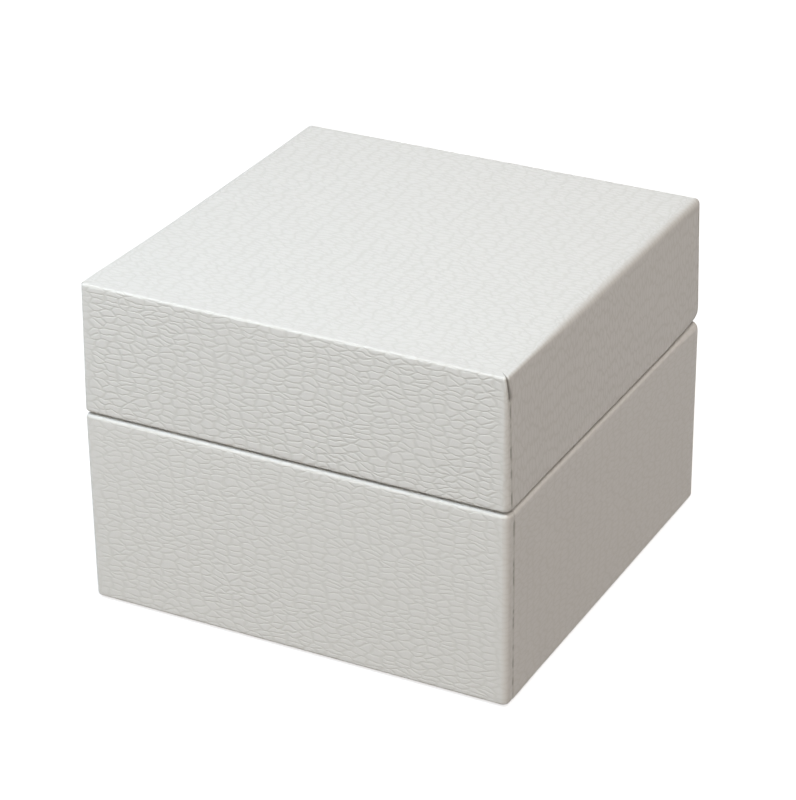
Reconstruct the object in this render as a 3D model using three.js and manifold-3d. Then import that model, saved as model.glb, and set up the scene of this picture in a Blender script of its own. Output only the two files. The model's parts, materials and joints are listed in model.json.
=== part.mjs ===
// A hinged jewellery gift box: two moulded shells wrapped in embossed paper, a sprung steel hinge at the
// back, a velvet pad that lifts out of the base and a satin pad in the lid.
// Millimetres, +Z up. The origin is the middle of the underside. The front faces -Y and the hinge is at +Y.
// Sections are drawn as [inset, height] points: inset counts inwards from the outline of the closed rims.
import * as THREE from 'three';
import { mergeVertices } from 'three/addons/utils/BufferGeometryUtils.js';
import Module from 'manifold-3d';

const wasm = await Module();
wasm.setup();

// Overall sizes
const rimWidth = 90;
const rimDepth = 90;
const baseHeight = 41;
const lidHeight = 27;
const partingGap = 0.3;
const lidDraft = THREE.MathUtils.degToRad(1.4);

// Shells, paper and their rounded edges
const wallThick = 1.8;
const paperThick = 0.4;
const glueGap = 0.05;
const cornerRadius = 1.4;
const leastCorner = 0.3;
const rimRadius = 1.4;
const innerRimRadius = 0.9;
const edgeRadius = 1.0;
const innerEdgeRadius = 0.6;
const rimTurnIn = 8;
const footTurnUnder = 12;
const footSheetThick = 0.4;
const footSheetInset = 3;

// Collar and linings
const collarThick = 1.0;
const collarStandsUp = 5;
const collarClearance = 0.4;
const liningThick = 0.8;
const liningGap = 0.3;
const backLiningDrop = 1.2;
const lidPadThick = 5.2;
const lidBoardThick = 1.0;
const cardGap = 0.1;

// Hinge
const hingeLength = 44;
const knuckleCount = 5;
const knuckleGap = 0.3;
const pinRadius = 0.4;
const pinClearance = 0.05;
const sheetThick = 0.35;
const notchClearance = 0.45;
const baseLeafHeight = 7.5;
const lidLeafHeight = 6.5;
const rivetSpacing = 30;
const baseRivetDrop = 4.5;
const lidRivetRise = 4;
const rivetRadius = 0.6;
const rivetHeadRadius = 1.3;
const rivetHeadThick = 0.45;
const rivetClearance = 0.1;
const springWidth = 8;
const springThick = 0.3;
const springBow = 2.1;
const springEndLength = 1.6;
const springWindowClearance = 2.5;

// Lift-out pad and what it rests on
const riserTop = 22;
const riserGap = 1.4;
const padClearance = 0.6;
const padBoardThick = 1.2;
const padRollHeight = 14.7;
const padRollRadius = 4;
const ringSlotWidth = 3;
const ribbonWidth = 10;
const ribbonThick = 0.4;
const ribbonLay = 16;
const ribbonGap = 0.3;

const cornerSteps = 4;
const filletSteps = 4;
const roundSides = 32;

// Sizes that follow from the ones above
const lidBottom = baseHeight + partingGap;
const boxHeight = lidBottom + lidHeight;
const skin = paperThick + glueGap;
const rimThick = wallThick + 2 * skin;
const footLevel = footSheetThick + glueGap;
const floorTop = footLevel + skin + wallThick;
const ceiling = boxHeight - skin - wallThick;
const knuckleRadius = pinRadius + pinClearance + sheetThick;
const axisLevel = baseHeight + partingGap / 2;
const axisInset = knuckleRadius;
const axisY = rimDepth / 2 - axisInset;
const knuckleLength = (hingeLength - (knuckleCount - 1) * knuckleGap) / knuckleCount;
const tabOffset = knuckleRadius - sheetThick;
const notchHalfHeight = knuckleRadius + notchClearance;
const baseLeafInset = rimThick + glueGap;
const lidLeafInset = rimThick + lidLean(axisLevel + lidLeafHeight) + glueGap;
const collarInset = rimThick + collarClearance;
const collarInner = collarInset + collarThick;
const hingeStack = baseLeafInset + sheetThick + glueGap + rivetHeadThick;
const backLiningInset = hingeStack + liningGap;
const backLiningInner = backLiningInset + liningThick;
const collarTop = baseHeight + collarStandsUp;
const springApex = lidLeafInset + sheetThick + springBow;
const padBackInset = Math.max(springApex + springThick, backLiningInner) + padClearance;
const padFrontInset = collarInner + padClearance;
const padWidth = rimWidth - 2 * padFrontInset;
const padDepth = rimDepth - padFrontInset - padBackInset;
const padCentreY = (padFrontInset - padBackInset) / 2;
const padBottom = riserTop + glueGap;
const padRollBottom = padBottom + padBoardThick + glueGap;
const padTop = padRollBottom + padRollHeight;
const lidLiningBottom = axisLevel + lidLeafHeight + liningGap;
const lidBoardTop = ceiling - glueGap;
const lidPadTop = lidBoardTop - lidBoardThick - cardGap;

const looks = {
  paper: { color: '#f1f0ec', roughness: 0.55, metalness: 0 },
  shell: { color: '#d9d8d4', roughness: 0.5, metalness: 0 },
  velvet: { color: '#efece4', roughness: 0.95, metalness: 0 },
  satin: { color: '#f4f1ea', roughness: 0.4, metalness: 0 },
  card: { color: '#e4e1d8', roughness: 0.85, metalness: 0 },
  foam: { color: '#f2f1ee', roughness: 0.9, metalness: 0 },
  steel: { color: '#b9bbbd', roughness: 0.3, metalness: 1 },
};

const box = new THREE.Group();

// How far the lid's walls lean inwards at a height
function lidLean(level) {
  return Math.max(level - lidBottom, 0) * Math.tan(lidDraft);
}

function addPiece(name, look, geometry) {
  const mesh = new THREE.Mesh(geometry, new THREE.MeshStandardMaterial(looks[look]));
  mesh.name = name;
  box.add(mesh);
}

function asSolid(geometry) {
  const bare = geometry.clone();
  bare.deleteAttribute('normal');
  bare.deleteAttribute('uv');
  const merged = mergeVertices(bare, 1e-5);
  return new wasm.Manifold(new wasm.Mesh({
    numProp: 3,
    vertProperties: Float32Array.from(merged.attributes.position.array),
    triVerts: Uint32Array.from(merged.index.array),
  }));
}

function asGeometry(manifold) {
  const mesh = manifold.getMesh();
  const geometry = new THREE.BufferGeometry();
  geometry.setAttribute('position', new THREE.BufferAttribute(mesh.vertProperties, mesh.numProp));
  geometry.setIndex(new THREE.BufferAttribute(mesh.triVerts, 1));
  return geometry;
}

// geometry with every tool cut away
function cut(geometry, tools) {
  let solid = asSolid(geometry);
  for (const tool of tools) {
    solid = solid.subtract(asSolid(tool));
  }
  return asGeometry(solid);
}

function boxBetween(low, high) {
  const size = high.map((value, i) => value - low[i]);
  const geometry = new THREE.BoxGeometry(...size);
  geometry.translate(...high.map((value, i) => (value + low[i]) / 2));
  return geometry;
}

// A rod along X, from x = start to x = end
function rodAlongX(radius, start, end, y, z) {
  const geometry = new THREE.CylinderGeometry(radius, radius, end - start, roundSides);
  geometry.rotateZ(Math.PI / 2);
  geometry.translate((start + end) / 2, y, z);
  return geometry;
}

// Points of an arc about a centre, as [inset, height], between two angles in degrees
function arc(inset, height, radius, from, to) {
  const curve = new THREE.EllipseCurve(
    inset, height, radius, radius, THREE.MathUtils.degToRad(from), THREE.MathUtils.degToRad(to), to < from);
  return curve.getPoints(filletSteps).map((point) => [point.x, point.y]);
}

// A rectangle with round corners, anticlockwise, with the same number of points at any size
function outline(width, depth, radius) {
  const x = width / 2 - radius;
  const y = depth / 2 - radius;
  const centres = [[x, -y], [x, y], [-x, y], [-x, -y]];
  return centres.flatMap(([cx, cy], i) => {
    const start = (i - 1) * Math.PI / 2;
    return new THREE.EllipseCurve(cx, cy, radius, radius, start, start + Math.PI / 2).getPoints(cornerSteps);
  });
}

// Carries a section round the outline of a box. The section runs outwards at the bottom, up the outside,
// inwards at the top and down the inside. An open section is closed by a flat face at each end.
function carryRound(section, { width = rimWidth, depth = rimDepth, centreY = 0, loop = false } = {}) {
  const places = [];
  const faces = [];
  const rings = section.map(([inset, level]) => {
    const radius = Math.max(cornerRadius - inset, leastCorner);
    const first = places.length / 3;
    const points = outline(width - 2 * inset, depth - 2 * inset, radius);
    points.forEach((point) => places.push(point.x, point.y + centreY, level));
    return { first, count: points.length };
  });
  const lastPair = loop ? rings.length : rings.length - 1;
  for (let i = 0; i < lastPair; i++) {
    const low = rings[i];
    const high = rings[(i + 1) % rings.length];
    for (let j = 0; j < low.count; j++) {
      const next = (j + 1) % low.count;
      faces.push(low.first + j, low.first + next, high.first + next);
      faces.push(low.first + j, high.first + next, high.first + j);
    }
  }
  if (!loop) {
    capRing(places, faces, rings[0], section[0][1], centreY, true);
    capRing(places, faces, rings.at(-1), section.at(-1)[1], centreY, false);
  }
  const geometry = new THREE.BufferGeometry();
  geometry.setAttribute('position', new THREE.Float32BufferAttribute(places, 3));
  geometry.setIndex(faces);
  return geometry;
}

function capRing(places, faces, ring, level, centreY, facesDown) {
  const middle = places.length / 3;
  places.push(0, centreY, level);
  for (let j = 0; j < ring.count; j++) {
    const a = ring.first + j;
    const b = ring.first + (j + 1) % ring.count;
    faces.push(middle, facesDown ? b : a, facesDown ? a : b);
  }
}

// The line of a wrapped wall at a depth below the paper's surface: along the closed face, up the wall
// and over the rim to the end of the turn-in. Height counts from the closed face to the rim.
function wallLine(height, depth, startInset) {
  const innerRim = rimThick - innerRimRadius;
  return [
    [startInset, depth],
    ...arc(edgeRadius, edgeRadius, edgeRadius - depth, 270, 180),
    ...arc(rimRadius, height - rimRadius, rimRadius - depth, 180, 90),
    ...arc(innerRim, height - innerRimRadius, innerRimRadius - depth, 90, 0),
    [rimThick - depth, height - rimTurnIn],
  ];
}

// A shell: the wall's line below the paper, then down inside it to the floor
function shellSection(height) {
  const inside = skin + wallThick + innerEdgeRadius;
  return [
    ...wallLine(height, skin, inside).slice(0, -1),
    ...arc(inside, inside, innerEdgeRadius, 180, 270),
  ];
}

// The paper: out along its surface and back along its glued side
function paperSection(height, startInset) {
  return [...wallLine(height, 0, startInset), ...wallLine(height, paperThick, startInset).reverse()];
}

const asBase = (section) => section.map(([inset, height]) => [inset, footLevel + height]);
const asLid = (section) => section
  .map(([inset, height]) => [inset + lidLean(boxHeight - height), boxHeight - height])
  .reverse();

// The slot through a rim in which the knuckles turn
function hingeNotch() {
  const halfLength = hingeLength / 2 + knuckleGap;
  return boxBetween(
    [-halfLength, rimDepth / 2 - rimThick - 1, axisLevel - notchHalfHeight],
    [halfLength, rimDepth / 2 + 1, axisLevel + notchHalfHeight],
  );
}

// Holes for a leaf's rivets, from the inside of the box to the glued side of the paper
function rivetHoles(level) {
  const outerEnd = rimDepth / 2 - paperThick - glueGap / 2 - lidLean(level);
  const innerEnd = rimDepth / 2 - rimThick - 2 * sheetThick - liningGap;
  return [-1, 1].map((side) => {
    const radius = rivetRadius + rivetClearance;
    const hole = new THREE.CylinderGeometry(radius, radius, outerEnd - innerEnd, roundSides / 2);
    hole.translate(side * rivetSpacing / 2, (outerEnd + innerEnd) / 2, level);
    return hole;
  });
}

const baseRivetLevel = axisLevel - baseRivetDrop;
const lidRivetLevel = axisLevel + lidRivetRise;

function addShells() {
  const baseHoles = [hingeNotch(), ...rivetHoles(baseRivetLevel)];
  const lidHoles = [hingeNotch(), ...rivetHoles(lidRivetLevel)];
  const baseWall = baseHeight - footLevel;
  addPiece('base_shell', 'shell', cut(carryRound(asBase(shellSection(baseWall))), baseHoles));
  addPiece('lid_shell', 'shell', cut(carryRound(asLid(shellSection(lidHeight))), lidHoles));
  const basePaper = carryRound(asBase(paperSection(baseWall, footTurnUnder)), { loop: true });
  addPiece('base_wrap', 'paper', cut(basePaper, baseHoles));
  addPiece('lid_wrap', 'paper', cut(carryRound(asLid(paperSection(lidHeight, footTurnUnder))), lidHoles));
  addPiece('foot_sheet', 'paper', carryRound([[footSheetInset, 0], [footSheetInset, footSheetThick]]));
}

// A U of card, open at the back, that stands up past the rim and lines three sides of the base
function addCollar() {
  const low = floorTop + glueGap;
  const backY = rimDepth / 2 - backLiningInner;
  const outerX = rimWidth / 2 - collarInset;
  const outerY = -rimDepth / 2 + collarInset;
  const radius = collarThick;
  const plan = new THREE.Shape();
  plan.moveTo(outerX, backY);
  plan.lineTo(outerX - collarThick, backY);
  plan.lineTo(outerX - collarThick, outerY + collarThick);
  plan.lineTo(-outerX + collarThick, outerY + collarThick);
  plan.lineTo(-outerX + collarThick, backY);
  plan.lineTo(-outerX, backY);
  plan.absarc(-outerX + radius, outerY + radius, radius, Math.PI, 1.5 * Math.PI);
  plan.absarc(outerX - radius, outerY + radius, radius, -0.5 * Math.PI, 0);
  const geometry = new THREE.ExtrudeGeometry(plan, {
    depth: collarTop - low, bevelEnabled: false, curveSegments: cornerSteps,
  });
  geometry.translate(0, 0, low);
  addPiece('closure_collar', 'velvet', geometry);
}

function addLinings() {
  const halfWidth = rimWidth / 2 - collarInner - liningGap;
  const backY = rimDepth / 2 - backLiningInset;
  const low = floorTop + glueGap;
  const back = boxBetween([-halfWidth, backY - liningThick, low], [halfWidth, backY, baseHeight - backLiningDrop]);
  const windowHalf = springWidth / 2 + springWindowClearance;
  const window = boxBetween(
    [-windowHalf, backY - liningThick - 1, axisLevel - baseLeafHeight],
    [windowHalf, backY + 1, baseHeight + 1],
  );
  addPiece('back_lining', 'velvet', cut(back, [window]));

  const inner = collarInset + liningThick;
  const high = lidBoardTop - lidBoardThick - cardGap;
  const ring = [[collarInset, lidLiningBottom], [collarInset, high], [inner, high], [inner, lidLiningBottom]];
  addPiece('lid_side_lining', 'velvet', carryRound(ring, { loop: true }));
}

function addLidPad() {
  const boardInset = collarInset + innerEdgeRadius;
  const boardBottom = lidBoardTop - lidBoardThick;
  addPiece('lid_pad_board', 'card', carryRound([[boardInset, boardBottom], [boardInset, lidBoardTop]]));
  const padInset = collarInset + liningThick + liningGap;
  const padEdge = lidPadThick / 2;
  const low = lidPadTop - lidPadThick;
  addPiece('lid_pad', 'satin', carryRound([
    ...arc(padInset + padEdge, low + padEdge, padEdge, 270, 180),
    [padInset, lidPadTop],
  ]));
}

// A leaf of the hinge: its knuckles rolled round the pin, a tab to each, and the plate on the wall.
// side is -1 for the leaf that hangs in the base and 1 for the one that stands in the lid.
function addLeaf(name, side, firstKnuckle, plateInset, plateHeight, rivetLevel) {
  const plateY = rimDepth / 2 - plateInset;
  const near = axisLevel + side * tabOffset;
  const far = axisLevel + side * knuckleRadius;
  const end = axisLevel + side * plateHeight;
  let leaf = asSolid(boxBetween(
    [-hingeLength / 2, plateY - sheetThick, Math.min(near, end)],
    [hingeLength / 2, plateY, Math.max(near, end)],
  ));
  for (let i = firstKnuckle; i < knuckleCount; i += 2) {
    const start = -hingeLength / 2 + i * (knuckleLength + knuckleGap);
    const tab = boxBetween(
      [start, plateY - sheetThick, Math.min(near, far)],
      [start + knuckleLength, axisY, Math.max(near, far)],
    );
    leaf = leaf.add(asSolid(tab));
    leaf = leaf.add(asSolid(rodAlongX(knuckleRadius, start, start + knuckleLength, axisY, axisLevel)));
  }
  const bore = rodAlongX(pinRadius + pinClearance, -hingeLength, hingeLength, axisY, axisLevel);
  leaf = leaf.subtract(asSolid(bore));
  addPiece(name, 'steel', cut(asGeometry(leaf), rivetHoles(rivetLevel)));
}

// A round-headed rivet with its head inside the box, driven through the leaf and the wall
function addRivets(name, level, plateInset) {
  const headY = rimDepth / 2 - plateInset - sheetThick - glueGap;
  const endY = rimDepth / 2 - skin - lidLean(level) - rivetClearance;
  const dome = [0, 1, 2, 3].map((step) => {
    const angle = step * Math.PI / 6;
    return new THREE.Vector2(rivetHeadRadius * Math.sin(angle), -rivetHeadThick * Math.cos(angle));
  });
  const line = [...dome, new THREE.Vector2(rivetRadius, 0), new THREE.Vector2(rivetRadius, endY - headY),
    new THREE.Vector2(0, endY - headY)];
  for (const [word, side] of [['left', -1], ['right', 1]]) {
    const rivet = new THREE.LatheGeometry(line, roundSides / 2);
    rivet.translate(side * rivetSpacing / 2, headY, level);
    addPiece(`${name}_${word}`, 'steel', asGeometry(asSolid(rivet)));
  }
}

// A bowed strip of spring steel from one leaf to the other
function addSpring() {
  const baseEnd = baseLeafInset + sheetThick + glueGap + springThick / 2;
  const lidEnd = lidLeafInset + sheetThick + glueGap + springThick / 2;
  const middle = springApex;
  const low = axisLevel - baseLeafHeight + glueGap;
  const high = axisLevel + lidLeafHeight - glueGap;
  const line = new THREE.CatmullRomCurve3([
    new THREE.Vector3(baseEnd, low, 0),
    new THREE.Vector3(baseEnd, low + springEndLength, 0),
    new THREE.Vector3(middle, axisLevel, 0),
    new THREE.Vector3(lidEnd, high - springEndLength, 0),
    new THREE.Vector3(lidEnd, high, 0),
  ], false, 'chordal');
  const steps = 5 * filletSteps;
  const side = (sign) => Array.from({ length: steps + 1 }, (_, i) => {
    const at = line.getPoint(i / steps);
    const along = line.getTangent(i / steps);
    return new THREE.Vector2(
      at.x + sign * along.y * springThick / 2, at.y - sign * along.x * springThick / 2);
  });
  const strip = new THREE.Shape([...side(1), ...side(-1).reverse()]);
  const geometry = new THREE.ExtrudeGeometry(strip, { depth: springWidth, bevelEnabled: false });
  // The drawing's inset becomes -Y, its height Z and its extrusion X
  const turn = new THREE.Matrix4().makeBasis(
    new THREE.Vector3(0, -1, 0), new THREE.Vector3(0, 0, 1), new THREE.Vector3(-1, 0, 0));
  geometry.applyMatrix4(turn);
  geometry.translate(springWidth / 2, rimDepth / 2, 0);
  addPiece('hinge_spring', 'steel', geometry);
}

function addHinge() {
  addLeaf('hinge_leaf_base', -1, 0, baseLeafInset, baseLeafHeight, baseRivetLevel);
  addLeaf('hinge_leaf_lid', 1, 1, lidLeafInset, lidLeafHeight, lidRivetLevel);
  addPiece('hinge_pin', 'steel', rodAlongX(pinRadius, -hingeLength / 2, hingeLength / 2, axisY, axisLevel));
  addRivets('rivet_base', baseRivetLevel, baseLeafInset);
  addRivets('rivet_lid', lidRivetLevel, lidLeafInset);
  addSpring();
}

// The pad: a card board and two velvet rolls with a ring slot between them, and a ribbon to lift it by
function addInsert() {
  const front = -rimDepth / 2 + padFrontInset;
  const back = front + padDepth;
  const ribbonNotch = boxBetween(
    [-ribbonWidth / 2 - ribbonGap, front - 1, 0],
    [ribbonWidth / 2 + ribbonGap, front + ribbonThick + 2 * ribbonGap, boxHeight],
  );
  const board = boxBetween([-padWidth / 2, front, padBottom], [padWidth / 2, back, padBottom + padBoardThick]);
  addPiece('insert_board', 'card', cut(board, [ribbonNotch]));

  const rollDepth = (padDepth - ringSlotWidth) / 2;
  const section = [
    [0, padRollBottom],
    ...arc(padRollRadius, padTop - padRollRadius, padRollRadius, 180, 90),
  ];
  const roll = (middle) => carryRound(section, { width: padWidth, depth: rollDepth, centreY: middle });
  addPiece('pad_front_roll', 'velvet', cut(roll(front + rollDepth / 2), [ribbonNotch]));
  addPiece('pad_back_roll', 'velvet', roll(back - rollDepth / 2));

  const outerY = front + ribbonGap;
  const layTop = padTop + ribbonGap + ribbonThick;
  const fold = new THREE.Shape();
  fold.moveTo(outerY, padBottom);
  fold.lineTo(outerY + ribbonThick, padBottom);
  fold.lineTo(outerY + ribbonThick, layTop - ribbonThick);
  fold.lineTo(outerY + ribbonLay, layTop - ribbonThick);
  fold.lineTo(outerY + ribbonLay, layTop);
  fold.lineTo(outerY, layTop);
  const ribbon = new THREE.ExtrudeGeometry(fold, { depth: ribbonWidth, bevelEnabled: false });
  // The drawing's x becomes Y, its y Z and its extrusion X
  const turn = new THREE.Matrix4().makeBasis(
    new THREE.Vector3(0, 1, 0), new THREE.Vector3(0, 0, 1), new THREE.Vector3(1, 0, 0));
  ribbon.applyMatrix4(turn);
  ribbon.translate(-ribbonWidth / 2, 0, 0);
  addPiece('pull_ribbon', 'satin', ribbon);
}

// A block of foam that holds the pad up
function addRiser() {
  const front = -rimDepth / 2 + collarInner + riserGap;
  const back = rimDepth / 2 - padBackInset;
  const halfWidth = rimWidth / 2 - collarInner - riserGap;
  addPiece('foam_riser', 'foam', boxBetween(
    [-halfWidth, front, floorTop + glueGap], [halfWidth, back, riserTop]));
}

addShells();
addCollar();
addLinings();
addLidPad();
addHinge();
addInsert();
addRiser();

export default box;
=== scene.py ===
# A hinged jewellery gift box: moulded shells wrapped in pebble-embossed paper, shut. Inside are a velvet
# pad that lifts out, a closure collar, a satin pad in the lid and a sprung steel hinge at the back.
import json
import math

import bmesh
import bpy
import numpy as np
from mathutils import Matrix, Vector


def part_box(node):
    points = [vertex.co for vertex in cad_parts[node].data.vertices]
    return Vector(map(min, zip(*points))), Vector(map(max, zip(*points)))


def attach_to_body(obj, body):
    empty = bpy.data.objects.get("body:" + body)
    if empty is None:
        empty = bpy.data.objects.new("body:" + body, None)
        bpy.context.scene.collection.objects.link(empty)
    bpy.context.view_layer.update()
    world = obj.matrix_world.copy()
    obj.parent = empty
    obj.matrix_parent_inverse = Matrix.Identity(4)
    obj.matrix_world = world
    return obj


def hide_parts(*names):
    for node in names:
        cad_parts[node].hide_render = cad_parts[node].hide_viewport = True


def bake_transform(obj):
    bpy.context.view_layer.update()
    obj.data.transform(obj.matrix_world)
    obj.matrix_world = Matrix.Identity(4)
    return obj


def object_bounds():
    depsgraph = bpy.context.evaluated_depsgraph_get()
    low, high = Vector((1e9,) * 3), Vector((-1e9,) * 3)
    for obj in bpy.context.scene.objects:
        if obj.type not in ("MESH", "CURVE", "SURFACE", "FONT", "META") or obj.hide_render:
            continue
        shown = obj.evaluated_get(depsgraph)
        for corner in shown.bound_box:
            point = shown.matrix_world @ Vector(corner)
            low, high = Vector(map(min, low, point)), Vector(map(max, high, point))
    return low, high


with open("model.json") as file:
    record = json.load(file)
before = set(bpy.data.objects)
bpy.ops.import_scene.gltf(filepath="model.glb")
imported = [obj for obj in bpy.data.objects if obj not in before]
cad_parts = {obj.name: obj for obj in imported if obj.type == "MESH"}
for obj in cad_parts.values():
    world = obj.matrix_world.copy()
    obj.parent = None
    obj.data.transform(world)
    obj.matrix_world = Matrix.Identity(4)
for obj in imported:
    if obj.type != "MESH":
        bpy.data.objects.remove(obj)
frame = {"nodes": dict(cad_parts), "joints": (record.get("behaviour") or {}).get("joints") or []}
cad_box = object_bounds()
MM = 0.001

# Studio
# A long lens looks down on the front right corner of the box. The floor is white and glows a little, and
# it throws no light on the box. Under a dim sky, the key softbox is above the front left, another hangs
# overhead and lights the top and the rims, and weaker ones fill the front, the right side and the back.
low, high = (np.array(corner) for corner in cad_box)
camera_azimuth, camera_elevation, camera_roll = np.radians([27.84, 27.42, -0.69])
camera_distance = 580.5 * MM
camera_data = bpy.data.cameras.new("camera")
camera_data.lens = 131.9
camera_data.sensor_width = 36
camera_data.clip_start = 0.01
camera = bpy.data.objects.new("camera", camera_data)
bpy.context.scene.collection.objects.link(camera)
bpy.context.scene.camera = camera
back = np.array([
    math.sin(camera_azimuth) * math.cos(camera_elevation),
    -math.cos(camera_azimuth) * math.cos(camera_elevation),
    math.sin(camera_elevation),
])
right = np.array([math.cos(camera_azimuth), math.sin(camera_azimuth), 0.0])
up = np.cross(back, right)
camera_place = (low + high) / 2 + back * camera_distance - right * 0.61 * MM - up * 0.80 * MM
turned_right = right * math.cos(camera_roll) + up * math.sin(camera_roll)
turned_up = up * math.cos(camera_roll) - right * math.sin(camera_roll)
camera_matrix = np.eye(4)
camera_matrix[:3, :3] = np.stack([turned_right, turned_up, back], axis=1)
camera_matrix[:3, 3] = camera_place
camera.matrix_world = camera_matrix.T.tolist()
bpy.context.scene.view_settings.view_transform = "Standard"


def hex_color(text):
    """An sRGB hex value as linear red, green, blue and alpha."""
    srgb = np.array([int(text[i:i + 2], 16) for i in (1, 3, 5)]) / 255
    linear = np.where(srgb <= 0.04045, srgb / 12.92, ((srgb + 0.055) / 1.055) ** 2.4)
    return (*linear.tolist(), 1.0)


def add_node(material, kind, links=(), **settings):
    """Adds one node. Settings are its inputs by name or its own properties, and each link is
    (input, from node, output)."""
    node = material.node_tree.nodes.new(kind)
    for name, value in settings.items():
        if name in node.bl_rna.properties:
            setattr(node, name, value)
        else:
            node.inputs[name.replace("_", " ")].default_value = value
    for to, source, output in links:
        socket = node.inputs[to] if isinstance(to, int) else node.inputs[to.replace("_", " ")]
        material.node_tree.links.new(source.outputs[output], socket)
    return node


def new_material(name):
    """A material with no nodes but its output."""
    material = bpy.data.materials.new(name)
    material.use_nodes = True
    for node in list(material.node_tree.nodes):
        if node.type != "OUTPUT_MATERIAL":
            material.node_tree.nodes.remove(node)
    return material


def finish_material(material, shader):
    """Links the shader to the material's output."""
    output = next(n for n in material.node_tree.nodes if n.type == "OUTPUT_MATERIAL")
    material.node_tree.links.new(shader.outputs[0], output.inputs["Surface"])
    return material


def two_tones(material, amount, output, dark, pale):
    """Mixes two sRGB hex colours: dark where the amount is 0 and pale where it is 1."""
    mix = add_node(material, "ShaderNodeMix", [(0, amount, output)], data_type="RGBA")
    mix.inputs[6].default_value = hex_color(dark)
    mix.inputs[7].default_value = hex_color(pale)
    return mix


floor_half = 3.0
floor_mesh = bpy.data.meshes.new("floor")
floor_mesh.from_pydata(
    [(x * floor_half, y * floor_half, low[2] - 0.02 * MM) for x, y in ((-1, -1), (1, -1), (1, 1), (-1, 1))],
    [], [(0, 1, 2, 3)])
floor = bpy.data.objects.new("floor", floor_mesh)
bpy.context.scene.collection.objects.link(floor)
floor_paint = new_material("matt white studio paint")
floor_mesh.materials.append(finish_material(floor_paint, add_node(
    floor_paint, "ShaderNodeBsdfPrincipled", Base_Color=hex_color("#c8c8c8"), Roughness=0.9,
    Emission_Color=hex_color("#ffffff"), Emission_Strength=0.72)))
floor.visible_diffuse = False

world = bpy.data.worlds.new("even sky")
bpy.context.scene.world = world
world.use_nodes = True
world.node_tree.nodes["Background"].inputs["Color"].default_value = hex_color("#fff4ec")
world.node_tree.nodes["Background"].inputs["Strength"].default_value = 0.10


def add_softbox(name, place, size, power, color):
    """A square area light of the given size in metres and power in watts. Its frame is built from the
    direction to the middle of the box, which it faces, so that its sides stay level."""
    data = bpy.data.lights.new(name, "AREA")
    data.shape = "SQUARE"
    data.size = size
    data.energy = power
    data.color = hex_color(color)[:3]
    lamp = bpy.data.objects.new(name, data)
    bpy.context.scene.collection.objects.link(lamp)
    away = np.array(place) - (low + high) / 2
    away = away / np.linalg.norm(away)
    side = np.cross([0, 0, 1], away)
    side = side / np.linalg.norm(side)
    matrix = np.eye(4)
    matrix[:3, :3] = np.stack([side, np.cross(away, side), away], axis=1)
    matrix[:3, 3] = place
    lamp.matrix_world = matrix.T.tolist()


for lamp in (
    ("key", (-0.17, -0.25, 0.45), 0.26, 1.45, "#e4f3ff"),
    ("overhead", (0.55, -0.30, 1.62), 0.70, 13.9, "#fff9f2"),
    ("front fill", (-0.12, -1.20, 0.10), 0.50, 5.3, "#fff9ee"),
    ("right fill", (1.15, 0.05, 0.25), 0.50, 1.32, "#ffeee0"),
    ("rear", (-0.35, 0.95, 0.06), 0.50, 3.0, "#ffffff"),
):
    add_softbox(*lamp)

# Embossed paper
# Off-white leatherette: a coated paper pressed between rollers, so that flat pebbles about 3 mm long
# lie in wavy rows with narrow valleys between them, which are painted darker as painted shade. The coat
# is satin, and its cut edges show grey pulp, painted darker still along each cut's groove as painted shade.
pebble_length = 3.0 * MM
pebble_height = 1.2 * MM


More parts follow.
